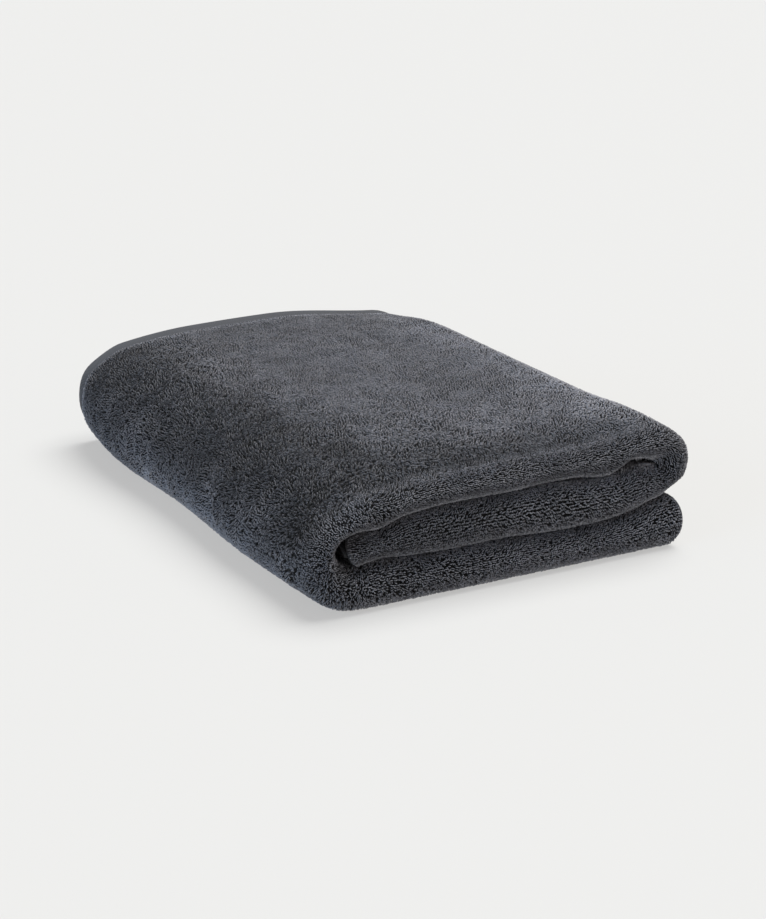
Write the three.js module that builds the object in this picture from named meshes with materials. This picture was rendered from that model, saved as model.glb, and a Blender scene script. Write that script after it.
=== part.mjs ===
import * as THREE from 'three';

// A plush terry bath towel, folded flat. The cloth is doubled twice along its length, which
// makes a band of four plies, and the band is turned over itself in three with its free end
// tucked inside. It is one sheet with its hems, so it is one solid.
// Sizes are in millimetres. X runs along the folded front end, Y back to the hems, Z is up.

// The packet as an even stack, before it settles
const PACKET = { width: 247, length: 353 };

// The cloth: through the pile, ply to ply, and the flat woven hems at its ends and sides
const CLOTH = { thickness: 4.6, rise: 5.7, hemThickness: 3.2, endHem: 15, sideHem: 5 };

// The air between one band of four plies and the next
const BAND_GAP = 1.2;

// How far each ply's far end, and each free end of the band, stops short of the packet
const FAR_END = { outerHem: 1, innerHem: 6, fold: 8 };
const FREE_END = { bottom: 3, middle: 22.4 };

// The free ends are rounded: how far back the plies sit at the band's two faces
const END_ROUND = { reach: 24, bottomUpper: 4.4, bottomLower: 6.2, bottomAll: 2.6 };
const TUCKED_END = { reach: 24, round: 3.6, tip: -0.1, all: 3.3 };

// Heights of the two creases at the front end, from the left fold to the right one
const CREASES = [
  { x: -124, lower: 18, upper: 40 },
  { x: -100, lower: 24, upper: 44 },
  { x: -82, lower: 27.2, upper: 45 },
  { x: -67, lower: 26, upper: 49.5 },
  { x: -38, lower: 24.6, upper: 51.8 },
  { x: 0, lower: 24.6, upper: 51.6 },
  { x: 32, lower: 22.6, upper: 52.8 },
  { x: 68, lower: 23.2, upper: 50 },
  { x: 84, lower: 26, upper: 54.7 },
  { x: 103, lower: 30.8, upper: 52.8 },
  { x: 124, lower: 32.6, upper: 54 },
];

// What the creases level out to towards the hems, and how much of their unevenness stays
const LEVELLING = {
  lower: { level: 22, keeps: 0.2, y: [-178, 130] },
  upper: { level: 46.5, keeps: 0.15, y: [-178, 130] },
};

// The top face: its crown, and where it rises or drops, over a span of x and a span of y
const CROWN = { height: 73.5, x: 14, halfSpan: 110, fall: 3.5 };
const TOP_RISES = [
  { by: -5, y: [-110, -200] },
  { by: -2.1, y: [100, 180] },
  { by: 5.2, x: [30, 110], y: [-72, -170] },
  { by: 1.7, x: [60, 105], y: [160, 60] },
  { by: -6.5, x: [20, 110], y: [95, 175] },
  { by: -4.3, x: [-40, -120], y: [60, 178] },
  { by: -3, x: [-30, -110], y: [60, -60] },
];

// Where the upper crease stands a little open near the front end
const SLIT = { opening: 2.5, x: [66, 80], closes: [118, 95], y: [-90, -150], soft: 0.6, reach: 14 };
const SMALL_SLIT = { opening: 0.9, x: 48, reach: 16 };

// The left fold slumps outwards near the surface and leans in above, unevenly from front to back
const SLUMP = { x: [-70, -112], height: 24 };
const LEFT_SIDE = [
  { y: -176, out: -1.5, lean: 0.18 },
  { y: -140, out: -3.5, lean: 0.22 },
  { y: -110, out: -4, lean: 0.26 },
  { y: -72, out: -5, lean: 0.26 },
  { y: -35, out: -3.8, lean: 0.26 },
  { y: 10, out: -2.2, lean: 0.26 },
  { y: 50, out: -3, lean: 0.26 },
  { y: 85, out: -5.2, lean: 0.23 },
  { y: 115, out: -5.4, lean: 0.16 },
  { y: 147, out: -2.4, lean: 0.08 },
  { y: 176, out: 2.8, lean: 0.06 },
];

// The hollow beside the tucked end is wider at the front
const HOLLOW = { shift: -7.2, x: -103, xReach: 22.5, z: 40, zReach: 26, y: [-120, -165] };

// The front of the tucked end stands back under the band above it
const RECESS = { by: 5, x: -97, xReach: 13, z: 41, zReach: 11, y: [-130, -172] };

// The right fold is drawn in above the lower band
const PINCH = { shift: -3, x: [86, 112], z: 28, zReach: 7 };

// Stations shared by all the plies, so that neighbours keep the same facets
const FRONT_STATIONS_Y = [-148, -112, -72, -30, 15, 60, 100, 152];
const BAND_STATIONS_X = [80, 58, 34, 8, -18, -42, -66];
const STEPS = { leftFold: 9, rightFold: 7, outerTurn: 7, innerTurn: 4 };

const PLIES = 4;
const HALF_RISE = CLOTH.rise / 2;
const OUTER_PLY = 3 * HALF_RISE;
const BAND = (PLIES - 1) * CLOTH.rise + CLOTH.thickness;
const LOWER_CREASE = BAND + BAND_GAP / 2;
const UPPER_CREASE = 2 * BAND + 1.5 * BAND_GAP;
const STACK = 3 * BAND + 2 * BAND_GAP;

const bottomZ = BAND / 2;
const middleZ = BAND + BAND_GAP + BAND / 2;
const topZ = STACK - BAND / 2;
const leftRadius = (topZ - bottomZ) / 2;
const rightRadius = (topZ - middleZ) / 2;
const leftX = -PACKET.width / 2 + STACK / 2;
const rightX = PACKET.width / 2 - rightRadius - BAND / 2;
const bottomEndX = PACKET.width / 2 - FREE_END.bottom;
const middleEndX = -PACKET.width / 2 + FREE_END.middle;

// The band's route seen from the front, as straight runs and half-round folds
const ROUTE = [
  { from: bottomEndX, toward: -1, z: bottomZ, length: bottomEndX - leftX },
  { centreX: leftX, centreZ: (topZ + bottomZ) / 2, radius: leftRadius, side: -1 },
  { from: leftX, toward: 1, z: topZ, length: rightX - leftX },
  { centreX: rightX, centreZ: (topZ + middleZ) / 2, radius: rightRadius, side: 1 },
  { from: rightX, toward: -1, z: middleZ, length: rightX - middleEndX },
];
for (const part of ROUTE) {
  if (part.radius) part.length = Math.PI * part.radius;
}
const CLOTH_WIDTH = ROUTE.reduce((sum, part) => sum + part.length, 0);

// The cloth's path along its length, seen from the side: y, and how far out it lies in the band
const turnY = -PACKET.length / 2 + OUTER_PLY + CLOTH.thickness / 2;
const outerHemY = PACKET.length / 2 - FAR_END.outerHem;
const innerHemY = PACKET.length / 2 - FAR_END.innerHem;
const farFoldY = PACKET.length / 2 - FAR_END.fold;
const PATH = [
  { fromY: innerHemY, toY: turnY, out: HALF_RISE },
  { centreY: turnY, centreOut: 0, radius: HALF_RISE, side: -1, start: 1 },
  { fromY: turnY, toY: farFoldY, out: -HALF_RISE },
  { centreY: farFoldY, centreOut: -CLOTH.rise, radius: HALF_RISE, side: 1, start: 1 },
  { fromY: farFoldY, toY: turnY, out: -OUTER_PLY },
  { centreY: turnY, centreOut: 0, radius: OUTER_PLY, side: -1, start: -1 },
  { fromY: turnY, toY: outerHemY, out: OUTER_PLY },
];

// 0 at a, 1 at b, level at both
function ease(x, [a, b]) {
  const u = THREE.MathUtils.clamp((x - a) / (b - a), 0, 1);
  return u * u * (3 - 2 * u);
}

// 1 at the centre, 0 at the reach and past it
function hump(x, centre, reach) {
  const u = THREE.MathUtils.clamp((x - centre) / reach, -1, 1);
  return Math.cos((u * Math.PI) / 2) ** 2;
}

// Goes from 1 to the part that is kept
function kept(part, amount) {
  return 1 - (1 - part) * amount;
}

// A smooth curve through one column of a table, whose rows go up in x or in y
function along(rows, axis, column, place) {
  const at = THREE.MathUtils.clamp(place, rows[0][axis], rows[rows.length - 1][axis]);
  let i = 0;
  while (i < rows.length - 2 && at > rows[i + 1][axis]) i += 1;
  const slope = (k) => {
    const a = rows[Math.max(k - 1, 0)];
    const b = rows[Math.min(k + 1, rows.length - 1)];
    return (b[column] - a[column]) / (b[axis] - a[axis]);
  };
  const span = rows[i + 1][axis] - rows[i][axis];
  const u = (at - rows[i][axis]) / span;
  const rise = rows[i + 1][column] - rows[i][column];
  const start = slope(i) * span;
  const end = slope(i + 1) * span;
  return rows[i][column] + u * (start + u * (3 * rise - 2 * start - end + u * (start + end - 2 * rise)));
}

function topHeight(x, y) {
  let height = CROWN.height - CROWN.fall * ((x - CROWN.x) / CROWN.halfSpan) ** 2;
  for (const rise of TOP_RISES) {
    height += rise.by * (rise.x ? ease(x, rise.x) : 1) * ease(y, rise.y);
  }
  return height;
}

function creaseHeight(column, x, y) {
  const { level, keeps, y: span } = LEVELLING[column];
  return level + (along(CREASES, 'x', column, x) - level) * kept(keeps, ease(y, span));
}

// A point of the even packet, moved to where it lies when the towel has settled
function settle(x, y, z) {
  const scale = topHeight(x, y) / STACK;
  const lower = creaseHeight('lower', x, y) - LOWER_CREASE * scale;
  const upper = creaseHeight('upper', x, y) - UPPER_CREASE * scale;
  let height = z * scale;
  height += lower * hump(z, LOWER_CREASE, LOWER_CREASE);
  height += upper * hump(z, UPPER_CREASE, STACK - UPPER_CREASE);

  const open = SLIT.opening * ease(x, SLIT.x) * ease(x, SLIT.closes)
    + SMALL_SLIT.opening * hump(x, SMALL_SLIT.x, SMALL_SLIT.reach);
  const parted = Math.tanh((z - UPPER_CREASE) / SLIT.soft) * hump(z, UPPER_CREASE, SLIT.reach);
  height += open * ease(y, SLIT.y) * parted;

  const out = along(LEFT_SIDE, 'y', 'out', y);
  const lean = along(LEFT_SIDE, 'y', 'lean', y);
  const slump = ease(x, SLUMP.x) * (out + lean * (z - SLUMP.height));
  const hollow = HOLLOW.shift * hump(x + slump, HOLLOW.x, HOLLOW.xReach)
    * hump(z, HOLLOW.z, HOLLOW.zReach) * ease(y, HOLLOW.y);
  const pinch = PINCH.shift * ease(x, PINCH.x) * hump(z, PINCH.z, PINCH.zReach);
  const back = RECESS.by * hump(x, RECESS.x, RECESS.xReach)
    * hump(z, RECESS.z, RECESS.zReach) * ease(y, RECESS.y);
  return new THREE.Vector3(x + slump + hollow + pinch, y + back, height);
}

// The middle of the band at a distance s from its lower free end, and its outward direction
function bandAt(s) {
  let rest = s;
  let i = 0;
  while (i < ROUTE.length - 1 && rest > ROUTE[i].length) {
    rest -= ROUTE[i].length;
    i += 1;
  }
  const part = ROUTE[i];
  if (!part.radius) {
    return { x: part.from + part.toward * rest, z: part.z, outX: 0, outZ: part.toward };
  }
  const angle = rest / part.radius;
  const outX = part.side * Math.sin(angle);
  const outZ = part.side * Math.cos(angle);
  return { x: part.centreX + outX * part.radius, z: part.centreZ + outZ * part.radius, outX, outZ };
}

// A point on one face of the cloth: face is 1 for the side that shows, -1 for the other
function clothPoint(s, row, face) {
  const nearHem = Math.min(s, CLOTH_WIDTH - s) < CLOTH.sideHem || row.inHem;
  const half = (face * (nearHem ? CLOTH.hemThickness : CLOTH.thickness)) / 2;
  const out = row.out + half * row.faceOut;
  const y = row.y + half * row.faceY;
  const band = bandAt(s);

  const u = THREE.MathUtils.clamp(out / (BAND / 2), -1, 1);
  const bottom = Math.max(1 - s / END_ROUND.reach, 0);
  const tucked = Math.max(1 - (CLOTH_WIDTH - s) / TUCKED_END.reach, 0);
  const faceRound = u < 0 ? END_ROUND.bottomUpper : END_ROUND.bottomLower;
  const x = band.x
    - bottom * (END_ROUND.bottomAll + faceRound * u * u)
    + tucked * (TUCKED_END.all + TUCKED_END.round * (u - TUCKED_END.tip) ** 2);
  return settle(x + band.outX * out, y, band.z + band.outZ * out);
}

// Distances along the band at which the cloth has a column of points
function columns() {
  const list = [0, CLOTH.sideHem - 1, CLOTH.sideHem + 1];
  let start = 0;
  ROUTE.forEach((part, i) => {
    if (part.radius) {
      const steps = part.side < 0 ? STEPS.leftFold : STEPS.rightFold;
      for (let k = 0; k <= steps; k += 1) list.push(start + (part.length * k) / steps);
    } else {
      const stations = [...BAND_STATIONS_X, ...(i === 0 ? [rightX] : [])];
      for (const x of stations) list.push(start + (x - part.from) * part.toward);
    }
    start += part.length;
  });
  list.push(CLOTH_WIDTH - CLOTH.sideHem - 1, CLOTH_WIDTH - CLOTH.sideHem + 1, CLOTH_WIDTH);
  return list.sort((a, b) => a - b);
}

// Rows of points along the cloth's length, from its inner hem to its outer one
function rows() {
  const list = [];
  for (const part of PATH) {
    if (part.radius) {
      const steps = part.radius > HALF_RISE ? STEPS.outerTurn : STEPS.innerTurn;
      for (let k = 0; k <= steps; k += 1) {
        const angle = (Math.PI * k) / steps;
        const y = part.side * Math.sin(angle);
        const out = part.start * Math.cos(angle);
        const facing = part.start * part.side;
        list.push({
          y: part.centreY + part.radius * y,
          out: part.centreOut + part.radius * out,
          faceY: facing * y,
          faceOut: facing * out,
        });
      }
    } else {
      const back = part.toY > part.fromY;
      const hemY = Math.max(part.fromY, part.toY);
      const hasHem = part.out > 0;
      const ys = FRONT_STATIONS_Y.map((y) => ({ y }));
      if (hasHem) {
        ys.push({ y: hemY - CLOTH.endHem });
        ys.push({ y: hemY - CLOTH.endHem + 2, inHem: true });
        ys.push({ y: hemY, inHem: true });
      }
      if (!back) ys.reverse();
      for (const { y, inHem } of ys) list.push({ y, out: part.out, faceY: 0, faceOut: back ? 1 : -1, inHem });
    }
  }
  return list;
}

// One closed sheet: a grid of points on each face, joined around the rim
function sheetGeometry() {
  const across = columns();
  const lengthwise = rows();
  const positions = [];
  for (const face of [1, -1]) {
    for (const s of across) {
      for (const row of lengthwise) positions.push(...clothPoint(s, row, face).toArray());
    }
  }

  const n = lengthwise.length;
  const m = across.length;
  const shown = (i, j) => i * n + j;
  const hidden = (i, j) => m * n + i * n + j;
  const triangles = [];
  // Corners are given clockwise as seen from outside
  const quad = (a, b, c, d) => triangles.push(a, d, c, a, c, b);
  for (let i = 0; i < m - 1; i += 1) {
    for (let j = 0; j < n - 1; j += 1) {
      quad(shown(i, j), shown(i, j + 1), shown(i + 1, j + 1), shown(i + 1, j));
      quad(hidden(i, j), hidden(i + 1, j), hidden(i + 1, j + 1), hidden(i, j + 1));
    }
  }
  for (let i = 0; i < m - 1; i += 1) {
    quad(shown(i, 0), shown(i + 1, 0), hidden(i + 1, 0), hidden(i, 0));
    quad(shown(i + 1, n - 1), shown(i, n - 1), hidden(i, n - 1), hidden(i + 1, n - 1));
  }
  for (let j = 0; j < n - 1; j += 1) {
    quad(shown(0, j + 1), shown(0, j), hidden(0, j), hidden(0, j + 1));
    quad(shown(m - 1, j), shown(m - 1, j + 1), hidden(m - 1, j + 1), hidden(m - 1, j));
  }

  const geometry = new THREE.BufferGeometry();
  geometry.setAttribute('position', new THREE.Float32BufferAttribute(positions, 3));
  geometry.setIndex(triangles);
  geometry.computeVertexNormals();
  return geometry;
}

const terry = new THREE.MeshStandardMaterial({ color: 0x3a3c41, roughness: 0.95, metalness: 0 });

const towel = new THREE.Mesh(sheetGeometry(), terry);
towel.name = 'towel';

// The origin is at the middle of the base
towel.geometry.computeBoundingBox();
const middle = towel.geometry.boundingBox.getCenter(new THREE.Vector3());
towel.position.set(-middle.x, -middle.y, 0);

const group = new THREE.Group();
group.add(towel);

export default group;
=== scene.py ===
import math

import bpy
import numpy as np
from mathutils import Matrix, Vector


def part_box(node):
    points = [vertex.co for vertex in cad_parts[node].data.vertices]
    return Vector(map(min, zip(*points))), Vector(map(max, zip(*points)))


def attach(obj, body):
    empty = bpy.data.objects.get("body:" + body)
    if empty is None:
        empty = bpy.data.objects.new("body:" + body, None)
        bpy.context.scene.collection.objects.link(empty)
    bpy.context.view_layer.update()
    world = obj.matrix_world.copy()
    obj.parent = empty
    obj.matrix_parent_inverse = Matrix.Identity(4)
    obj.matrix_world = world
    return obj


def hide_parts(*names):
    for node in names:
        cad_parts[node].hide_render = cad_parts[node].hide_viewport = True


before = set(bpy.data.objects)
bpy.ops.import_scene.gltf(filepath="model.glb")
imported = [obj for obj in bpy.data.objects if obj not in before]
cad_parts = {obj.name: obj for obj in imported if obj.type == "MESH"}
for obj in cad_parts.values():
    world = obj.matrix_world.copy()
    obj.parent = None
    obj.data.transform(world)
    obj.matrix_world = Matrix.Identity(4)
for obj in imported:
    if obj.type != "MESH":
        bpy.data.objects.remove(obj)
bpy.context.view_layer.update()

# A charcoal terry bath towel, folded flat: doubled twice along its length into a band of four
# plies, and the band turned over itself in three with its free end tucked inside.
# Shapes are worked out in millimetres in the even packet's own frame and scaled to metres last.
MM = 0.001

# The packet, its cloth and its folds, as the solid has them
PACKET = {"width": 247, "length": 353}
CLOTH = {"thickness": 4.6, "rise": 5.7}
BAND_GAP = 1.2

# How far the hems and the fold stop short at the far end, and the band's free ends at the sides
FAR_END = {"outer_hem": 1, "inner_hem": 6, "fold": 8}
FREE_END = {"bottom": 3, "middle": 22.4}

# How the free end at the bottom and the tucked one are rounded
END_ROUND = {"reach": 24, "upper": 4.4, "lower": 6.2, "all": 2.6}
TUCKED_END = {"reach": 24, "round": 3.6, "tip": -0.1, "all": 3.3}

# Heights of the two creases at the front, from left to right, and how they level out behind it
CREASE_X = [-124, -100, -82, -67, -38, 0, 32, 68, 84, 103, 124]
CREASE_Z = {
    "lower": [18, 24, 27.2, 26, 24.6, 24.6, 22.6, 23.2, 26, 30.8, 32.6],
    "upper": [40, 44, 45, 49.5, 51.8, 51.6, 52.8, 50, 54.7, 52.8, 54],
}
LEVELLING = {
    "lower": {"level": 22, "keeps": 0.2, "y": (-178, 130)},
    "upper": {"level": 46.5, "keeps": 0.15, "y": (-178, 130)},
}

# The crown of the top, and where the top rises or falls away from it
CROWN = {"height": 73.5, "x": 14, "half_span": 110, "fall": 3.5}
TOP_RISES = [
    {"by": -5, "y": (-110, -200)},
    {"by": -2.1, "y": (100, 180)},
    {"by": 5.2, "x": (30, 110), "y": (-72, -170)},
    {"by": 1.7, "x": (60, 105), "y": (160, 60)},
    {"by": -6.5, "x": (20, 110), "y": (95, 175)},
    {"by": -4.3, "x": (-40, -120), "y": (60, 178)},
    {"by": -3, "x": (-30, -110), "y": (60, -60)},
]

# The slit under the upper band at the right of the front, and a small parting beside it
SLIT = {"opening": 2.5, "x": (66, 80), "closes": (118, 95), "y": (-90, -150), "soft": 0.6, "reach": 14}
SMALL_SLIT = {"opening": 0.9, "x": 48, "reach": 16}

# The left side slumps and leans outwards, by places from the front to the far end
SLUMP = {"x": (-70, -112), "z": 24}
LEFT_SIDE_Y = [-176, -140, -110, -72, -35, 10, 50, 85, 115, 147, 176]
LEFT_SIDE = {
    "out": [-1.5, -3.5, -4, -5, -3.8, -2.2, -3, -5.2, -5.4, -2.4, 2.8],
    "lean": [0.18, 0.22, 0.26, 0.26, 0.26, 0.26, 0.26, 0.23, 0.16, 0.08, 0.06],
}

# The hollow by the left fold, the tucked end that stands back in it, and the pinch in the right fold
HOLLOW = {"shift": -7.2, "x": -103, "x_reach": 22.5, "z": 40, "z_reach": 26, "y": (-120, -165)}
RECESS = {"by": 5, "x": -97, "x_reach": 13, "z": 41, "z_reach": 11, "y": (-130, -172)}
PINCH = {"shift": -3, "x": (86, 112), "z": 28, "z_reach": 7}

HALF_RISE = CLOTH["rise"] / 2
OUTER_PLY = 3 * HALF_RISE
BAND = 3 * CLOTH["rise"] + CLOTH["thickness"]
LOWER_CREASE = BAND + BAND_GAP / 2
UPPER_CREASE = 2 * BAND + 1.5 * BAND_GAP
STACK = 3 * BAND + 2 * BAND_GAP

BOTTOM_Z = BAND / 2
MIDDLE_Z = BAND + BAND_GAP + BAND / 2
TOP_Z = STACK - BAND / 2
LEFT_RADIUS = (TOP_Z - BOTTOM_Z) / 2
RIGHT_RADIUS = (TOP_Z - MIDDLE_Z) / 2
LEFT_X = -PACKET["width"] / 2 + STACK / 2
RIGHT_X = PACKET["width"] / 2 - RIGHT_RADIUS - BAND / 2
BOTTOM_END_X = PACKET["width"] / 2 - FREE_END["bottom"]
MIDDLE_END_X = -PACKET["width"] / 2 + FREE_END["middle"]

# The band's route seen from the front, as straight runs and half-round folds
ROUTE = [
    {"from": BOTTOM_END_X, "toward": -1, "z": BOTTOM_Z, "length": BOTTOM_END_X - LEFT_X},
    {"x": LEFT_X, "z": (TOP_Z + BOTTOM_Z) / 2, "radius": LEFT_RADIUS, "side": -1},
    {"from": LEFT_X, "toward": 1, "z": TOP_Z, "length": RIGHT_X - LEFT_X},
    {"x": RIGHT_X, "z": (TOP_Z + MIDDLE_Z) / 2, "radius": RIGHT_RADIUS, "side": 1},
    {"from": RIGHT_X, "toward": -1, "z": MIDDLE_Z, "length": RIGHT_X - MIDDLE_END_X},
]

# The cloth's path along its length, seen from the side
TURN_Y = -PACKET["length"] / 2 + OUTER_PLY + CLOTH["thickness"] / 2
OUTER_HEM_Y = PACKET["length"] / 2 - FAR_END["outer_hem"]
INNER_HEM_Y = PACKET["length"] / 2 - FAR_END["inner_hem"]
FAR_FOLD_Y = PACKET["length"] / 2 - FAR_END["fold"]
PATH = [
    {"ply": "B", "from": INNER_HEM_Y, "to": TURN_Y, "out": HALF_RISE},
    {"y": TURN_Y, "out": 0, "radius": HALF_RISE, "side": -1, "start": 1},
    {"ply": "C", "from": TURN_Y, "to": FAR_FOLD_Y, "out": -HALF_RISE},
    {"y": FAR_FOLD_Y, "out": -CLOTH["rise"], "radius": HALF_RISE, "side": 1, "start": 1},
    {"ply": "D", "from": FAR_FOLD_Y, "to": TURN_Y, "out": -OUTER_PLY},
    {"y": TURN_Y, "out": 0, "radius": OUTER_PLY, "side": -1, "start": -1},
    {"ply": "A", "from": TURN_Y, "to": OUTER_HEM_Y, "out": OUTER_PLY},
]


def set_out(parts):
    """Gives each part its length and where it starts, and returns the whole length."""
    start = 0
    for part in parts:
        if "radius" in part:
            part["length"] = math.pi * part["radius"]
        elif "length" not in part:
            part["length"] = abs(part["to"] - part["from"])
        part["start_at"] = start
        start += part["length"]
    return start


WIDTH = set_out(ROUTE)
LENGTH = set_out(PATH)
LEFT_FOLD, TOP_RUN, RIGHT_FOLD, MIDDLE_RUN = ROUTE[1:]
FAR_FOLD, PLY_D, OUTER_TURN, PLY_A = PATH[3:]


def ease(x, span):
    """Goes smoothly from 0 at the first end of the span to 1 at the other."""
    u = np.clip((x - span[0]) / (span[1] - span[0]), 0, 1)
    return u * u * (3 - 2 * u)


def hump(x, centre, reach):
    """Is 1 at the centre and falls smoothly to 0 at the reach."""
    return np.cos(np.clip((x - centre) / reach, -1, 1) * math.pi / 2) ** 2


def kept(part, amount):
    """Goes from 1 to the part that is kept as the amount goes from 0 to 1."""
    return 1 - (1 - part) * amount


def along(xs, values, x):
    """A smooth curve through the values at xs."""
    xs, values = np.array(xs, float), np.array(values, float)
    at = np.clip(x, xs[0], xs[-1])
    i = np.clip(np.searchsorted(xs, at) - 1, 0, len(xs) - 2)
    last = len(xs) - 1

    def slope(k):
        a, b = np.maximum(k - 1, 0), np.minimum(k + 1, last)
        return (values[b] - values[a]) / (xs[b] - xs[a])

    span = xs[i + 1] - xs[i]
    u = (at - xs[i]) / span
    rise = values[i + 1] - values[i]
    start, end = slope(i) * span, slope(i + 1) * span
    return values[i] + u * (start + u * (3 * rise - 2 * start - end + u * (start + end - 2 * rise)))


def top_height(x, y):
    height = CROWN["height"] - CROWN["fall"] * ((x - CROWN["x"]) / CROWN["half_span"]) ** 2
    for rise in TOP_RISES:
        height = height + rise["by"] * (ease(x, rise["x"]) if "x" in rise else 1) * ease(y, rise["y"])
    return height


def crease_height(column, x, y):
    levelling = LEVELLING[column]
    level = levelling["level"]
    rise = along(CREASE_X, CREASE_Z[column], x) - level
    return level + rise * kept(levelling["keeps"], ease(y, levelling["y"]))


def settle(x, y, z):
    """Moves a point of the even packet to where it lies when the towel has settled."""
    scale = top_height(x, y) / STACK
    lower = crease_height("lower", x, y) - LOWER_CREASE * scale
    upper = crease_height("upper", x, y) - UPPER_CREASE * scale
    height = z * scale
    height = height + lower * hump(z, LOWER_CREASE, LOWER_CREASE)
    height = height + upper * hump(z, UPPER_CREASE, STACK - UPPER_CREASE)

    opening = SLIT["opening"] * ease(x, SLIT["x"]) * ease(x, SLIT["closes"])
    opening = opening + SMALL_SLIT["opening"] * hump(x, SMALL_SLIT["x"], SMALL_SLIT["reach"])
    parted = np.tanh((z - UPPER_CREASE) / SLIT["soft"]) * hump(z, UPPER_CREASE, SLIT["reach"])
    height = height + opening * ease(y, SLIT["y"]) * parted

    out = along(LEFT_SIDE_Y, LEFT_SIDE["out"], y)
    lean = along(LEFT_SIDE_Y, LEFT_SIDE["lean"], y)
    slump = ease(x, SLUMP["x"]) * (out + lean * (z - SLUMP["z"]))
    hollow = HOLLOW["shift"] * hump(x + slump, HOLLOW["x"], HOLLOW["x_reach"])
    hollow = hollow * hump(z, HOLLOW["z"], HOLLOW["z_reach"]) * ease(y, HOLLOW["y"])
    pinch = PINCH["shift"] * ease(x, PINCH["x"]) * hump(z, PINCH["z"], PINCH["z_reach"])
    back = RECESS["by"] * hump(x, RECESS["x"], RECESS["x_reach"])
    back = back * hump(z, RECESS["z"], RECESS["z_reach"]) * ease(y, RECESS["y"])
    return x + slump + hollow + pinch, y + back, height


def band_at(s):
    """The middle of the band at a distance s from its lower free end, and its outward direction."""
    x, z, out_x, out_z = (np.zeros(s.shape) for _ in range(4))
    for part in ROUTE:
        here = (s >= part["start_at"]) | (part["start_at"] == 0)
        rest = s[here] - part["start_at"]
        if "radius" in part:
            angle = rest / part["radius"]
            out_x[here] = part["side"] * np.sin(angle)
            out_z[here] = part["side"] * np.cos(angle)
            x[here] = part["x"] + out_x[here] * part["radius"]
            z[here] = part["z"] + out_z[here] * part["radius"]
        else:
            out_x[here] = 0
            out_z[here] = part["toward"]
            x[here] = part["from"] + part["toward"] * rest
            z[here] = part["z"]
    return x, z, out_x, out_z


def path_at(t):
    """The ply at a distance t from the inner hem: its y, how far out it lies, and its facing."""
    y, out, face_y, face_out = (np.zeros(t.shape) for _ in range(4))
    for part in PATH:
        here = (t >= part["start_at"]) | (part["start_at"] == 0)
        rest = t[here] - part["start_at"]
        if "radius" in part:
            angle = rest / part["radius"]
            facing = part["start"] * part["side"]
            side, start = part["side"] * np.sin(angle), part["start"] * np.cos(angle)
            y[here] = part["y"] + part["radius"] * side
            out[here] = part["out"] + part["radius"] * start
            face_y[here] = facing * side
            face_out[here] = facing * start
        else:
            back = 1 if part["to"] > part["from"] else -1
            y[here] = part["from"] + back * rest
            out[here] = part["out"]
            face_y[here] = 0
            face_out[here] = back
    return y, out, face_y, face_out


def cloth_point(s, t, half):
    """A point at a distance half from the middle of the cloth, on the side that shows if above 0."""
    s, t, half = np.broadcast_arrays(np.asarray(s, float), np.asarray(t, float), np.asarray(half, float))
    row_y, row_out, face_y, face_out = path_at(t)
    out = row_out + half * face_out
    y = row_y + half * face_y
    band_x, band_z, out_x, out_z = band_at(s)

    u = np.clip(out / (BAND / 2), -1, 1)
    bottom = np.maximum(1 - s / END_ROUND["reach"], 0)
    tucked = np.maximum(1 - (WIDTH - s) / TUCKED_END["reach"], 0)
    face_round = np.where(u < 0, END_ROUND["upper"], END_ROUND["lower"])
    x = band_x - bottom * (END_ROUND["all"] + face_round * u * u)
    x = x + tucked * (TUCKED_END["all"] + TUCKED_END["round"] * (u - TUCKED_END["tip"]) ** 2)
    return np.stack(settle(x + out_x * out, y, band_z + out_z * out), axis=-1)


NOISE_CELLS = 64


def cloth_noise(s, t, size, seed):
    """Noise over the cloth, from -1 to 1, the same in each run."""
    rng = np.random.default_rng(seed)
    grid = rng.uniform(-1, 1, (NOISE_CELLS, NOISE_CELLS))
    u, v = np.asarray(s, float) / size, np.asarray(t, float) / size
    i, j = np.floor(u).astype(int), np.floor(v).astype(int)
    fu, fv = u - i, v - j
    fu, fv = fu * fu * (3 - 2 * fu), fv * fv * (3 - 2 * fv)
    i, j, next_i, next_j = (k % NOISE_CELLS for k in (i, j, i + 1, j + 1))
    a = grid[i, j] * (1 - fu) + grid[next_i, j] * fu
    b = grid[i, next_j] * (1 - fu) + grid[next_i, next_j] * fu
    return a * (1 - fv) + b * fv


# Where the cloth shows its pile: the outer ply from fold to fold, and the rounded front turn
PILE = {
    "height": 1.4,
    "side_hem": 1.6,
    "tucked_hem": 0.2,
    "end_hem": 15.4,
    "inside": 18,
    "under": 9,
    "far_fold": 6,
}
TURN_FROM = OUTER_TURN["start_at"] - PILE["inside"]
TURN_TO = PLY_A["start_at"] + PILE["under"]
PILE_END = LENGTH - PILE["end_hem"]
OPEN_FROM = LEFT_FOLD["start_at"] - PILE["under"]
OPEN_TO = MIDDLE_RUN["start_at"] + PILE["under"]


def shows_pile(s, t):
    """True where loops stand on the side that shows, and False where the cloth is plain."""
    clear = (s > PILE["side_hem"]) & (s < WIDTH - PILE["tucked_hem"]) & (t < PILE_END)
    on_turn = (t > TURN_FROM) & (t < TURN_TO)
    on_outside = (s > OPEN_FROM) & (s < OPEN_TO) & (t >= TURN_TO)
    far_end = FAR_FOLD["start_at"] + FAR_FOLD["length"] / 2
    on_fold = np.abs(t - far_end) < FAR_FOLD["length"] / 2 + PILE["far_fold"]
    return clear & (on_turn | on_outside | on_fold)


def to_metres(points):
    """Points of the even packet's frame in the scene's, where the packet is centred as the solid is."""
    return (np.asarray(points).reshape(-1, 3) - centre) * MM


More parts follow.
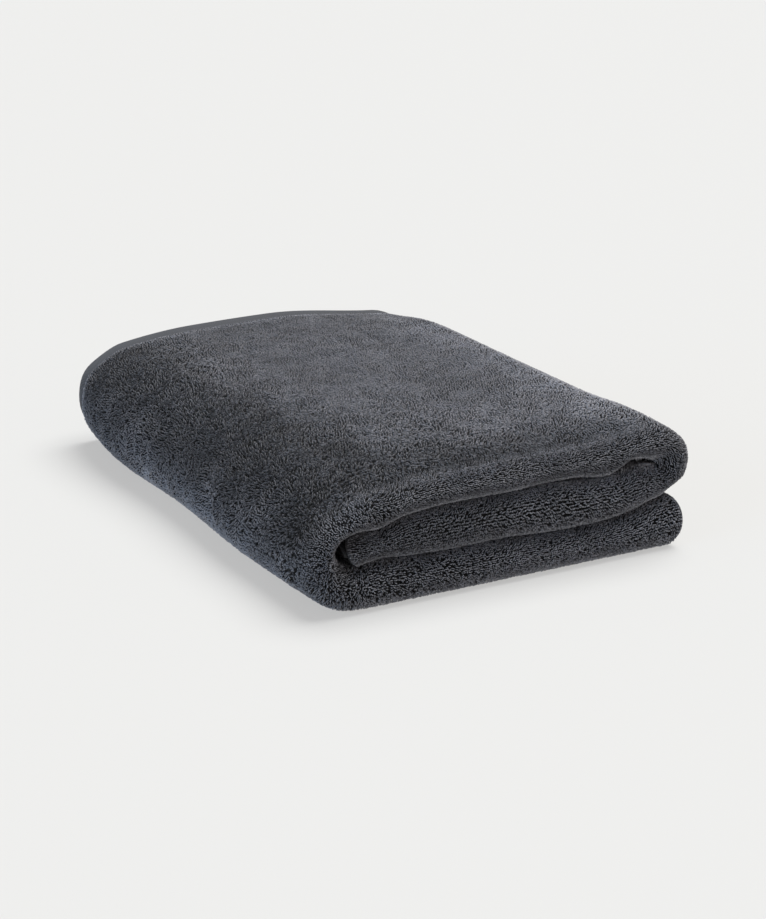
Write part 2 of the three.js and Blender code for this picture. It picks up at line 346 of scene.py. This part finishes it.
def make_mesh(name, points, quads, uv, shade=None, triangles=None):
    """A smooth mesh from arrays, in metres, with its cloth coordinates as UVs."""
    mesh = bpy.data.meshes.new(name)
    faces = quads.tolist() + ([] if triangles is None else triangles.tolist())
    mesh.from_pydata(points.tolist(), [], faces)
    layer = mesh.uv_layers.new(name="OFBake")
    loop_vertex = np.zeros(len(mesh.loops), int)
    mesh.loops.foreach_get("vertex_index", loop_vertex)
    layer.data.foreach_set("uv", uv[loop_vertex].astype(np.float32).ravel())
    for attribute_name, values in (shade or {}).items():
        attribute = mesh.attributes.new(attribute_name, "FLOAT", "POINT")
        attribute.data.foreach_set("value", values.astype(np.float32))
    mesh.polygons.foreach_set("use_smooth", np.ones(len(mesh.polygons), bool))
    mesh.update()
    piece = bpy.data.objects.new(name, mesh)
    bpy.context.scene.collection.objects.link(piece)
    return piece


# The camera, at the angle of the photograph
CAMERA = {"x": -0.6452, "y": -1.2013, "z": 0.4907, "azimuth": -28.82, "elevation": 19.0}
FOCAL_PIXELS = 2312.8
LONG_SIDE_PIXELS = 919
SENSOR = 36.0
CLIP = (0.05, 50)

camera_data = bpy.data.cameras.new("camera")
camera = bpy.data.objects.new("camera", camera_data)
bpy.context.scene.collection.objects.link(camera)
bpy.context.scene.camera = camera
camera.location = (CAMERA["x"], CAMERA["y"], CAMERA["z"])
turn, drop = math.radians(CAMERA["azimuth"]), math.radians(CAMERA["elevation"])
backward = Vector((math.sin(turn) * math.cos(drop), -math.cos(turn) * math.cos(drop), math.sin(drop)))
camera.rotation_mode = "QUATERNION"
camera.rotation_quaternion = (-backward).to_track_quat("-Z", "Y")
camera_data.sensor_width = SENSOR
camera_data.lens = FOCAL_PIXELS / LONG_SIDE_PIXELS * SENSOR
camera_data.clip_start, camera_data.clip_end = CLIP


# Node helpers
def new_material(name):
    material = bpy.data.materials.new(name)
    material.use_nodes = True
    tree = material.node_tree
    return material, tree, tree.nodes["Principled BSDF"]


def add(tree, kind, **values):
    """A node with its sockets and settings given by name."""
    node = tree.nodes.new(kind)
    for key, value in values.items():
        if key in node.inputs:
            node.inputs[key].default_value = value
        else:
            setattr(node, key, value)
    return node


def ramp(tree, source, stops):
    """A colour that follows the source through the stops."""
    node = tree.nodes.new("ShaderNodeValToRGB")
    elements = node.color_ramp.elements
    while len(elements) < len(stops):
        elements.new(0.5)
    for element, (position, colour) in zip(elements, stops):
        element.position = position
        element.color = (*colour, 1)
    tree.links.new(source, node.inputs["Fac"])
    return node.outputs["Color"]


def shade_by(tree, shader, colour, attribute_name):
    """The shader's colour, times a value that the mesh carries."""
    carried = add(tree, "ShaderNodeAttribute", attribute_name=attribute_name)
    shaded = add(tree, "ShaderNodeVectorMath", operation="SCALE")
    tree.links.new(colour, shaded.inputs[0])
    tree.links.new(carried.outputs["Fac"], shaded.inputs["Scale"])
    tree.links.new(shaded.outputs["Vector"], shader.inputs["Base Color"])


def bump_by(tree, shader, source, bump_values):
    bump = add(tree, "ShaderNodeBump", **bump_values)
    tree.links.new(source, bump.inputs["Height"])
    tree.links.new(bump.outputs["Normal"], shader.inputs["Normal"])


def textured(tree, kind, values):
    """A texture node that lies on the object."""
    place = add(tree, "ShaderNodeTexCoord")
    texture = add(tree, kind, **values)
    tree.links.new(place.outputs["Object"], texture.inputs["Vector"])
    return texture


# Cotton yarn, as dark blue grey, from the painted shade between the loops to their fluffed tops
YARN_SHADE = (0.010, 0.010, 0.012)
YARN_DARK = (0.075, 0.076, 0.083)
YARN = (0.170, 0.172, 0.188)
YARN_LIGHT = (0.270, 0.272, 0.296)
TONE_STOPS = [(0.0, YARN_SHADE), (0.35, YARN_DARK), (0.65, YARN), (1.0, YARN_LIGHT)]

COTTON = {"specular": 0.15, "sheen_roughness": 0.5}
PILE_COTTON = {"roughness": 0.95, "sheen": 0.12}
PATCHES = {"Scale": 26.0, "Detail": 3.0, "Roughness": 0.6}
PATCH_RANGE = {"From Min": 0.3, "From Max": 0.7, "To Min": 0.9, "To Max": 1.1}
FIBRES = {"Scale": 2600.0, "Detail": 2.0}
FIBRE_BUMP = {"Strength": 0.35, "Distance": 0.0002}

GROUND_COTTON = {"roughness": 0.95, "sheen": 0.08}
GROUND_LOOPS = {"Scale": 520.0}
# The ground's colours are painted shade, darker than the yarn
GROUND_SHADE_STOPS = [(0.0, YARN_DARK), (0.9, YARN_SHADE)]
GROUND_BUMP = {"Strength": 0.9, "Distance": 0.0012, "invert": True}

HEM_COTTON = {"roughness": 0.9, "sheen": 0.1}
RIBS = {"Scale": 420.0, "Distortion": 1.2, "Detail": 2.0, "bands_direction": "X"}
RIB_STOPS = [(0.0, (0.052, 0.054, 0.060)), (1.0, (0.072, 0.075, 0.084))]
RIB_BUMP = {"Strength": 0.5, "Distance": 0.0003}


def cotton(shader, roughness, sheen):
    shader.inputs["Roughness"].default_value = roughness
    shader.inputs["Specular IOR Level"].default_value = COTTON["specular"]
    shader.inputs["Sheen Weight"].default_value = sheen
    shader.inputs["Sheen Roughness"].default_value = COTTON["sheen_roughness"]


def pile_material():
    """The loops, each in its own tone, with painted light and shade that make areas lighter or darker."""
    material, tree, shader = new_material("terry_pile")
    cotton(shader, **PILE_COTTON)
    patches = textured(tree, "ShaderNodeTexNoise", PATCHES)
    patchy = add(tree, "ShaderNodeMapRange", **PATCH_RANGE)
    tree.links.new(patches.outputs["Fac"], patchy.inputs["Value"])
    tone = add(tree, "ShaderNodeAttribute", attribute_name="tone")
    mix = add(tree, "ShaderNodeMath", operation="MULTIPLY")
    tree.links.new(patchy.outputs["Result"], mix.inputs[0])
    tree.links.new(tone.outputs["Fac"], mix.inputs[1])
    shade_by(tree, shader, ramp(tree, mix.outputs["Value"], TONE_STOPS), "painted_light_and_shade")
    fibres = textured(tree, "ShaderNodeTexNoise", FIBRES)
    bump_by(tree, shader, fibres.outputs["Fac"], FIBRE_BUMP)
    return material


def ground_material():
    """Terry seen between the loops and where no loops are made, in painted shade: near black between the
    loops, and darker still at the front.
    """
    material, tree, shader = new_material("terry_ground_painted_shade")
    cotton(shader, **GROUND_COTTON)
    loops = textured(tree, "ShaderNodeTexVoronoi", GROUND_LOOPS)
    shade_by(tree, shader, ramp(tree, loops.outputs["Distance"], GROUND_SHADE_STOPS), "tone")
    bump_by(tree, shader, loops.outputs["Distance"], GROUND_BUMP)
    return material


def hem_material():
    """The flat woven hems, with a fine rib across them."""
    material, tree, shader = new_material("woven_hem")
    cotton(shader, **HEM_COTTON)
    ribs = textured(tree, "ShaderNodeTexWave", RIBS)
    tree.links.new(ramp(tree, ribs.outputs["Fac"], RIB_STOPS), shader.inputs["Base Color"])
    bump_by(tree, shader, ribs.outputs["Fac"], RIB_BUMP)
    return material


# The cloth as one closed sheet: its step on the flat, and the steps round each part that is a fold
SHEET_STEP = {"across": 6.2, "along": 6.8}
FOLD_STEPS = {"across": [0, 26, 0, 14, 0], "along": [0, 6, 0, 6, 0, 16, 0]}

# Half the thickness of a hem, from the cloth's edge inwards: a rounded edge, the flat woven
# stretch, the groove that the stitches pull in, and the ridge where the hem was turned under
END_HEM = {
    "from_edge": [0, 0.7, 2.2, 11.3, 12.4, 13.5, 14.6, 15.6],
    "half": [0.7, 1.4, 1.55, 1.5, 1.1, 1.7, 1.6, 0],
}
SIDE_HEM = {"from_edge": [0, 0.5, 1.2, 2.6], "half": [0.8, 1.3, 1.4, 0]}


def stations(parts, step, folds, hem):
    """Distances at which the sheet has a line of points, closer round the folds and at the hems."""
    total = parts[-1]["start_at"] + parts[-1]["length"]
    values = set()
    for part, fold_steps in zip(parts, folds):
        steps = fold_steps if "radius" in part else round(part["length"] / step)
        for k in range(steps + 1):
            values.add(round(part["start_at"] + part["length"] * k / steps, 3))
    inner = hem["from_edge"][-1] + 1
    values = {v for v in values if inner < v < total - inner}
    for distance in hem["from_edge"]:
        values |= {distance, total - distance}
    return np.array(sorted(values))


def sheet_half(s, t, face):
    """Half the cloth's thickness there: the pile that shows stands on a thinner ground weave."""
    body = np.full(s.shape, CLOTH["thickness"] / 2)
    if face > 0:
        body = np.where(shows_pile(s, t), body - PILE["height"], body)
    for at, total, hem in [(s, WIDTH, SIDE_HEM), (t, LENGTH, END_HEM)]:
        edge = np.minimum(at, total - at)
        in_hem = edge < hem["from_edge"][-1]
        body = np.where(in_hem, np.minimum(body, np.interp(edge, hem["from_edge"], hem["half"])), body)
        body = np.where(edge == hem["from_edge"][-1], CLOTH["thickness"] / 2 - PILE["height"], body)
    return body


def make_sheet():
    """The sheet's points, faces, UVs and painted ground shade, and its outside as it is with the pile on it.
    """
    s_line = stations(ROUTE, SHEET_STEP["across"], FOLD_STEPS["across"], SIDE_HEM)
    t_line = stations(PATH, SHEET_STEP["along"], FOLD_STEPS["along"], END_HEM)
    s, t = np.meshgrid(s_line, t_line, indexing="ij")
    m, n = s.shape
    faces = [cloth_point(s, t, face * sheet_half(s, t, face)).reshape(-1, 3) for face in (1, -1)]
    points = np.concatenate(faces)
    outside = cloth_point(s, t, np.full(s.shape, CLOTH["thickness"] / 2)).reshape(-1, 3)

    index = np.arange(m * n).reshape(m, n)
    other = index + m * n

    def quads(a, b, c, d):
        return np.stack([a.ravel(), d.ravel(), c.ravel(), b.ravel()], axis=1)

    strips = [
        quads(index[:-1, :-1], index[:-1, 1:], index[1:, 1:], index[1:, :-1]),
        quads(other[:-1, :-1], other[1:, :-1], other[1:, 1:], other[:-1, 1:]),
        quads(index[:-1, 0], index[1:, 0], other[1:, 0], other[:-1, 0]),
        quads(index[1:, -1], index[:-1, -1], other[:-1, -1], other[1:, -1]),
        quads(index[0, 1:], index[0, :-1], other[0, :-1], other[0, 1:]),
        quads(index[-1, :-1], index[-1, 1:], other[-1, 1:], other[-1, :-1]),
    ]
    # The two sides of the cloth lie next to each other in the UVs
    uv = np.stack([s.ravel() / WIDTH, t.ravel() / LENGTH], axis=1) * [0.5, 1]
    uv = np.concatenate([uv, uv + [0.5, 0]])
    # The ground's painted shade, deepest at the front
    tone = np.tile(front_to_far(PAINTED_GROUND_SHADE, s, t).ravel(), 2)
    return points, np.concatenate(strips), uv, outside, {"tone": tone}


# Loops of the pile, as small closed arches that stand on the ground weave: scatter, reach and yarn
# are in pitches, and no loop under the packet comes lower than "lowest"
LOOP = {"scatter": 0.27, "reach": 0.5, "yarn": 0.25, "root": -0.8, "lowest": 0.2}
LOOP_UNEVEN = {"height": 0.16, "reach": (0.8, 1.3), "yarn": (0.85, 1.15)}
LEAN = {"by": 0.2, "size": 7, "seeds": (14, 15), "each": 0.5}
CLUMP = {"size": 5.5, "seed": 13, "height": 0.08, "tone": 0.05}

# How an arch turns from the run of the band, in radians: in areas of two sizes, and each by itself
SWIRLS = [
    {"front": 0.8, "top": 1.7, "size": 9, "seed": 11},
    {"front": 0.4, "top": 1.2, "size": 31, "seed": 12},
]
TURN_EACH = 0.45

# Where the front's pile passes into that on the far half of the top, which is flatter, and their values
ON_TOP = {"y": (-150, 10), "s": (285, 345)}
LOOP_HEIGHT = {"front": 1.5, "far": 0.85}
# The roots' tone is painted shade between the loops: near black at the front, lighter on the far half of the
# top
PAINTED_ROOT_SHADE = {"front": 0.0, "far": 0.42}
# The ground's tone is a painted shade factor, deepest at the front
PAINTED_GROUND_SHADE = {"front": 0.1, "far": 1.0}
TOP_TONE = {"front": 0.72, "far": 0.64}
UNEVEN_TONE = {"front": 0.26, "far": 0.08}

# An arch has this many corners round its yarn, in rings between its two points
CORNERS = 3
ARCH = [
    {"along": -0.55, "up": 0.92, "slope": -0.6, "thick": 0.8},
    {"along": 0.55, "up": 1.0, "slope": 0.6, "thick": 0.8},
]
SAMPLES = 500


def front_to_far(values, s, t):
    """The front's value, passing into the far one on the far half of the top."""
    share = ease(path_at(t)[0], ON_TOP["y"]) * ease(s, ON_TOP["s"])
    return values["front"] + (values["far"] - values["front"]) * share


def even_steps(points, pitch, phase):
    """Lengths one pitch apart along a line of points, and the length that each point is at."""
    lengths = np.concatenate([[0], np.cumsum(np.linalg.norm(np.diff(points, axis=0), axis=1))])
    at = np.arange(phase * pitch, lengths[-1], pitch)
    return at, lengths


def loop_places(s_span, t_span, pitch, rng):
    """Places for the loops, evenly spaced on the surface, with what a mm is there in s and in t."""
    half = CLOTH["thickness"] / 2
    fine_t = np.linspace(*t_span, SAMPLES)
    middle_s = np.full(SAMPLES, (s_span[0] + s_span[1]) / 2)
    at, lengths = even_steps(cloth_point(middle_s, fine_t, half), pitch, 0.5)
    rows = np.interp(at, lengths, fine_t)
    row_scale = np.interp(at, lengths, np.gradient(fine_t, lengths))
    fine_s = np.linspace(*s_span, SAMPLES)
    s, t, s_scale, t_scale = [], [], [], []
    for row, scale in zip(rows, row_scale):
        at, lengths = even_steps(cloth_point(fine_s, np.full(SAMPLES, row), half), pitch, rng.uniform(0, 1))
        at = at + rng.uniform(-1, 1, at.shape) * LOOP["scatter"] * pitch
        s.append(np.interp(at, lengths, fine_s))
        t.append(row + rng.uniform(-1, 1, at.shape) * LOOP["scatter"] * pitch * scale)
        s_scale.append(np.interp(at, lengths, np.gradient(fine_s, lengths)))
        t_scale.append(np.full(at.shape, scale))
    return [np.concatenate(values) for values in (s, t, s_scale, t_scale)]


def lie_of_loops(s, t, rng):
    """The way each loop's arch runs: along the band, but across it in the left fold at the front."""
    on_front = (t > OUTER_TURN["start_at"]) & (t < PLY_A["start_at"])
    in_fold = (s > LEFT_FOLD["start_at"]) & (s < TOP_RUN["start_at"])
    swirl = 0
    for area in SWIRLS:
        most = np.where(on_front, area["front"], area["top"])
        swirl = swirl + most * cloth_noise(s, t, area["size"], area["seed"])
    return np.where(on_front & in_fold, math.pi / 2, 0) + swirl + rng.normal(0, TURN_EACH, s.shape)


# Painted light and shade on the pile, over the cloth's s and t: each area's colour is multiplied by its
# value, below 1 for painted shade and above 1 for painted light
PAINTED_LIGHT_AND_SHADE = [
    {"to": 0.53, "s": [(242, 262), (325, 292)], "t": [(1290, 1200), (1050, 1122)]},
    {"to": 0.57, "s": [(240, 262), (308, 280)], "t": [(1190, 1300)]},
    {"to": 0.80, "s": [(230, 256), (320, 300)], "t": [(1290, 1335), (1385, 1365)]},
    {"to": 0.91, "s": [(270, 305), (380, 345)], "t": [(1115, 1145)]},
    {"to": 0.92, "s": [(110, 185), (320, 265)], "t": [(1100, 1075)]},
    {"to": 0.74, "s": [(560, 650)], "t": [(1100, 1075)]},
    {"to": 1.50, "s": [(430, 480)], "t": [(1345, 1300), (1046, 1062)]},
    {"to": 1.40, "s": [(250, 262)], "t": [(1036, 1022)]},
    {"to": 0.80, "s": [(310, 345), (470, 450)], "t": [(1082, 1064), (1046, 1054)]},
    {"to": 1.50, "s": [(214, 226), (262, 250)], "t": [(1098, 1082), (1048, 1058)]},
    {"to": 1.45, "s": [(222, 208)], "t": [(1200, 1160), (1095, 1110)]},
    {"to": 0.85, "s": [(255, 265), (310, 295)], "t": [(1205, 1185), (1125, 1145)]},
    {"to": 1.18, "s": [(492, 506)], "t": [(1060, 1048)]},
    {"to": 1.45, "s": [(266, 222)], "t": [(1048, 1080), (1340, 1270)]},
    {"to": 0.85, "s": [(300, 340), (420, 380)], "t": [(1300, 1345)]},
    {"to": 0.78, "s": [(400, 420), (460, 440)], "t": [(1290, 1345)]},
    {"to": 0.70, "s": [(400, 330)], "t": [(1150, 1080), (1046, 1060)]},
    {"to": 0.78, "t": [(1094, 1062), (1046, 1060)]},
    {"to": 1.30, "s": [(290, 270)], "t": [(1075, 1050)]},
]
# How uneven the edges of the painted areas are, small random patches, and a lighter strip by the far hem
PAINTED_AREA_EDGE = {"uneven": 9, "size": 23, "seed": 21}
UNEVEN_PATCHES = {"by": 0.05, "size": 34, "seed": 22}
LIGHTER_BY_HEM = {"to": 1.45, "from_edge": (24, 17)}

# Round the corner by the hollow more loops are gone from sight, and low on the left side the pile
# lies close, with less contrast between its loops
OPENED = {"by": 0.14, "s": [(110, 185), (320, 265)], "t": [(1100, 1075)]}
CLOSE = {"by": -0.6, "s": [(268, 240)], "t": [(1060, 1090)]}


def within(area, s, t):
    """How far each place is inside the soft edges of an area, from 0 to 1."""
    share = np.ones(s.shape)
    for at, edges in ((s, area.get("s", [])), (t, area.get("t", []))):
        for edge in edges:
            share = share * ease(at, edge)
    return share


def painted_light_and_shade(s, t):
    """The painted light and shade on the pile, as a factor on its colour, with small random patches and a
    lighter strip by the far hem.
    """
    s_edge = s + PAINTED_AREA_EDGE["uneven"] * cloth_noise(s, t, PAINTED_AREA_EDGE["size"], PAINTED_AREA_EDGE["seed"])
    t_edge = t + PAINTED_AREA_EDGE["uneven"] * cloth_noise(t, s, PAINTED_AREA_EDGE["size"], PAINTED_AREA_EDGE["seed"])
    t_edge = np.where(t < TURN_TO, t, t_edge)
    shade = 1 + UNEVEN_PATCHES["by"] * cloth_noise(s, t, UNEVEN_PATCHES["size"], UNEVEN_PATCHES["seed"])
    for area in PAINTED_LIGHT_AND_SHADE:
        shade = shade * area["to"] ** within(area, s_edge, t_edge)
    return shade * LIGHTER_BY_HEM["to"] ** ease(LENGTH - t, LIGHTER_BY_HEM["from_edge"])


def make_loops(name, stretch, seed):
    """The loops on one stretch of cloth, as one mesh: low arches that run down to points."""
    rng = np.random.default_rng(seed)
    pitch = stretch["pitch"]
    s, t, s_scale, t_scale = loop_places(stretch["s"], stretch["t"], pitch, rng)
    gone = front_to_far({"front": stretch["gone"], "far": 0}, s, t) + OPENED["by"] * within(OPENED, s, t)
    here = shows_pile(s, t) & (rng.uniform(size=s.shape) > gone)
    s, t, s_scale, t_scale = s[here], t[here], s_scale[here], t_scale[here]
    count = len(s)

    angle = lie_of_loops(s, t, rng)
    du, dv = np.cos(angle), np.sin(angle)
    clump = cloth_noise(s, t, CLUMP["size"], CLUMP["seed"])
    taller = rng.uniform(-LOOP_UNEVEN["height"], LOOP_UNEVEN["height"], count)
    height = front_to_far(LOOP_HEIGHT, s, t) * (1 + CLUMP["height"] * clump + taller)
    reach = LOOP["reach"] * pitch * rng.uniform(*LOOP_UNEVEN["reach"], count)
    yarn = LOOP["yarn"] * pitch * rng.uniform(*LOOP_UNEVEN["yarn"], count)
    lean_s, lean_t = (
        LEAN["by"] * (cloth_noise(s, t, LEAN["size"], lean_seed) + rng.normal(0, LEAN["each"], count))
        for lean_seed in LEAN["seeds"]
    )
    ground = CLOTH["thickness"] / 2 - PILE["height"]

    def place(along_it, across, up, leaning):
        place_s = s + s_scale * (du * along_it - dv * across + lean_s * leaning)
        place_t = t + t_scale * (dv * along_it + du * across + lean_t * leaning)
        return place_s, place_t, ground + up

    root = np.full(count, LOOP["root"])
    corners = [place(-reach, 0, root, 0)]
    for ring in ARCH:
        for k in range(CORNERS):
            turned = 2 * math.pi * k / CORNERS + math.pi / 2
            across = yarn * math.cos(turned)
            outward = yarn * math.sin(turned)
            along_it = reach * ring["along"] + outward * ring["slope"]
            corners.append(place(along_it, across, height * ring["up"] + outward * ring["thick"], ring["up"]))
    corners.append(place(reach, 0, root, 0))

    contrast = stretch["contrast"] * (1 + CLOSE["by"] * within(CLOSE, s, t))
    uneven = contrast * front_to_far(UNEVEN_TONE, s, t) * rng.uniform(-1, 1, count)
    top_tone = front_to_far(TOP_TONE, s, t) * (1 + CLUMP["tone"] * clump + uneven)
    # Each loop's two root points take painted shade, darkest at the front
    root_shade = front_to_far(PAINTED_ROOT_SHADE, s, t)
    tone = np.repeat(top_tone[:, None], len(corners), axis=1)
    tone[:, 0], tone[:, -1] = root_shade, root_shade
    # The second value is the painted light and shade, a factor on the loops' colour
    shade = {"tone": tone.ravel(), "painted_light_and_shade": np.repeat(painted_light_and_shade(s, t), len(corners))}
    return make_pods(name, corners, len(ARCH), shade)


def pod_faces(count, ring_count):
    """Faces of many short closed tubes, each of some rings between two points."""
    size = ring_count * CORNERS + 2
    base = (np.arange(count) * size)[:, None]
    quads, triangles = [], []
    for k in range(CORNERS):
        a, b = 1 + k, 1 + (k + 1) % CORNERS
        last = (ring_count - 1) * CORNERS
        triangles += [base + np.array([[0, b, a]]), base + np.array([[a + last, b + last, size - 1]])]
        for ring in range(ring_count - 1):
            low = ring * CORNERS
            quads.append(base + np.array([[a + low, b + low, b + low + CORNERS, a + low + CORNERS]]))
    return np.concatenate(quads), np.concatenate(triangles)


def make_pods(name, corners, ring_count, shade):
    """Short closed tubes on the cloth as one mesh, from their corners as s, t and half, point to point."""
    at_s, at_t, at_half = (np.stack([corner[i] for corner in corners], axis=1) for i in range(3))
    points = cloth_point(at_s, at_t, at_half).reshape(-1, 3)
    points[:, 2] = np.maximum(points[:, 2], LOOP["lowest"])
    quads, triangles = pod_faces(len(at_s), ring_count)
    uv = np.stack([at_s.ravel() / WIDTH, at_t.ravel() / LENGTH], axis=1)
    return make_mesh(name, to_metres(points), quads, uv, shade, triangles)


# Stitches in the groove of each end hem, on the side that shows
STITCH = {"pitch": 3.3, "length": 2.5, "straight": 1.4, "yarn": 0.26, "tone": 0.45}
STITCH_LINE = {"from_edge": 12.4, "rise": 0.2}


def make_stitches():
    s_at = np.arange(STITCH["pitch"], WIDTH, STITCH["pitch"])
    t_at = [STITCH_LINE["from_edge"], LENGTH - STITCH_LINE["from_edge"]]
    s, t = (grid.ravel() for grid in np.meshgrid(s_at, t_at, indexing="ij"))
    groove = np.interp(STITCH_LINE["from_edge"], END_HEM["from_edge"], END_HEM["half"])
    groove = groove + STITCH_LINE["rise"]
    tip = np.full(s.shape, groove - STITCH["yarn"])
    corners = [(s - STITCH["length"] / 2, t, tip)]
    for ring in (-1, 1):
        for k in range(CORNERS):
            turned = 2 * math.pi * k / CORNERS + math.pi / 2
            height = np.full(s.shape, groove + STITCH["yarn"] * math.sin(turned))
            across = STITCH["yarn"] * math.cos(turned)
            corners.append((s + ring * STITCH["straight"] / 2, t + across, height))
    corners.append((s + STITCH["length"] / 2, t, tip))
    point_count = len(s) * len(corners)
    shade = {"tone": np.full(point_count, STITCH["tone"]), "painted_light_and_shade": np.ones(point_count)}
    return make_pods("hem_stitches", corners, 2, shade)


# The solid stands centred in its frame, and so does the cloth with its pile
sheet_points, sheet_quads, sheet_uv, outside, sheet_shade = make_sheet()
low, high = outside.min(0), outside.max(0)
box_low, box_high = (np.array(corner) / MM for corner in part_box("towel"))
centre = np.array([(low[0] + high[0] - box_low[0] - box_high[0]) / 2,
                   (low[1] + high[1] - box_low[1] - box_high[1]) / 2, 0])

towel = make_mesh("towel_sheet", to_metres(sheet_points), sheet_quads, sheet_uv, sheet_shade)
terry, ground, hem = pile_material(), ground_material(), hem_material()
towel.data.materials.append(ground)
towel.data.materials.append(hem)

# The faces of the hems take the woven finish
side_share, end_share = SIDE_HEM["from_edge"][-1] / WIDTH, END_HEM["from_edge"][-1] / LENGTH
face_uv = sheet_uv[sheet_quads].mean(axis=1)
across = np.where(face_uv[:, 0] > 0.5, face_uv[:, 0] - 0.5, face_uv[:, 0]) * 2
is_hem = (across < side_share) | (across > 1 - side_share)
is_hem |= (face_uv[:, 1] < end_share) | (face_uv[:, 1] > 1 - end_share)
towel.data.polygons.foreach_set("material_index", is_hem.astype(np.int32))

# The pile in stretches of the cloth
top_middle = TOP_RUN["start_at"] + TOP_RUN["length"] / 2
left_side = (OPEN_FROM, TOP_RUN["start_at"])
right_side = (RIGHT_FOLD["start_at"], OPEN_TO)
far_turn = (FAR_FOLD["start_at"] - PILE["far_fold"], PLY_D["start_at"] + PILE["far_fold"])
front = (TURN_FROM, TURN_TO)
outside_ply = (TURN_TO, PILE_END)
STRETCHES = {
    "pile_front_lower": {"s": (0, TOP_RUN["start_at"]), "t": front, "pitch": 1.3},
    "pile_front_upper": {"s": (TOP_RUN["start_at"], WIDTH), "t": front, "pitch": 1.3},
    "pile_left_fold": {"s": left_side, "t": outside_ply, "pitch": 1.62},
    "pile_top_left": {"s": (TOP_RUN["start_at"], top_middle), "t": outside_ply, "pitch": 1.75},
    "pile_top_right": {"s": (top_middle, RIGHT_FOLD["start_at"]), "t": outside_ply, "pitch": 1.75},
    "pile_right_fold": {"s": right_side, "t": outside_ply, "pitch": 1.95},
    "pile_far_fold": {"s": (0, WIDTH), "t": far_turn, "pitch": 2.1},
}
# How uneven the loops' tone is, times the usual, and the share of the loops gone from sight
GRAIN = {
    "pile_front_lower": {"contrast": 1.3, "gone": 0.03},
    "pile_front_upper": {"contrast": 1.3, "gone": 0.03},
    "pile_left_fold": {"contrast": 1.9, "gone": 0.05},
    "pile_top_left": {"contrast": 1.6, "gone": 0.04},
    "pile_top_right": {"contrast": 1, "gone": 0},
    "pile_right_fold": {"contrast": 1, "gone": 0},
    "pile_far_fold": {"contrast": 1, "gone": 0},
}
piles = []
for seed, (name, stretch) in enumerate(STRETCHES.items()):
    pile = make_loops(name, {**stretch, **GRAIN[name]}, seed=100 + seed)
    pile.data.materials.append(terry)
    piles.append(pile)

stitches = make_stitches()
stitches.data.materials.append(terry)

# Every piece rides on the one body and stands for the solid
for piece in [towel, *piles, stitches]:
    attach(piece, "root")
    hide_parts("towel")

FLOOR = {
    "size": 30,
    "colour": (0.25, 0.253, 0.25, 1),
    "glow": (1.0, 0.99, 0.975, 1),
    "glow_strength": 0.46,
    "roughness": 0.8,
    "specular": 0.1,
}


def make_floor():
    mesh = bpy.data.meshes.new("floor")
    h = FLOOR["size"] / 2
    mesh.from_pydata([(-h, -h, 0), (h, -h, 0), (h, h, 0), (-h, h, 0)], [], [(0, 1, 2, 3)])
    floor = bpy.data.objects.new("floor", mesh)
    bpy.context.scene.collection.objects.link(floor)
    material, tree, shader = new_material("pale_floor")
    shader.inputs["Base Color"].default_value = FLOOR["colour"]
    shader.inputs["Emission Color"].default_value = FLOOR["glow"]
    shader.inputs["Emission Strength"].default_value = FLOOR["glow_strength"]
    shader.inputs["Roughness"].default_value = FLOOR["roughness"]
    shader.inputs["Specular IOR Level"].default_value = FLOOR["specular"]
    mesh.materials.append(material)


make_floor()

# Soft studio light, mostly from the right and a little behind
LIGHTS = [
    {"name": "key", "at": (0.60, 0.08, 1.4), "angle": 48, "power": 4.45, "colour": (1.0, 0.99, 0.97)},
    {"name": "left_fill", "at": (-1.8, -0.2, 0.4), "angle": 45, "power": 1.35, "colour": (0.44, 0.68, 1.0)},
    {"name": "front_fill", "at": (0.3, -1.8, 0.5), "angle": 80, "power": 0.35, "colour": (1.0, 0.86, 0.82)},
]
STUDIO = {"colour": (1.0, 0.975, 0.96, 1), "strength": 0.21}

for light in LIGHTS:
    data = bpy.data.lights.new(light["name"], "SUN")
    data.angle = math.radians(light["angle"])
    data.energy = light["power"]
    data.color = light["colour"]
    lamp = bpy.data.objects.new(light["name"], data)
    bpy.context.scene.collection.objects.link(lamp)
    lamp.location = light["at"]
    lamp.rotation_mode = "QUATERNION"
    lamp.rotation_quaternion = (-Vector(light["at"])).to_track_quat("-Z", "Y")

world = bpy.data.worlds.new("studio")
bpy.context.scene.world = world
world.use_nodes = True
world.node_tree.nodes["Background"].inputs["Color"].default_value = STUDIO["colour"]
world.node_tree.nodes["Background"].inputs["Strength"].default_value = STUDIO["strength"]
bpy.context.scene.view_settings.view_transform = "Standard"
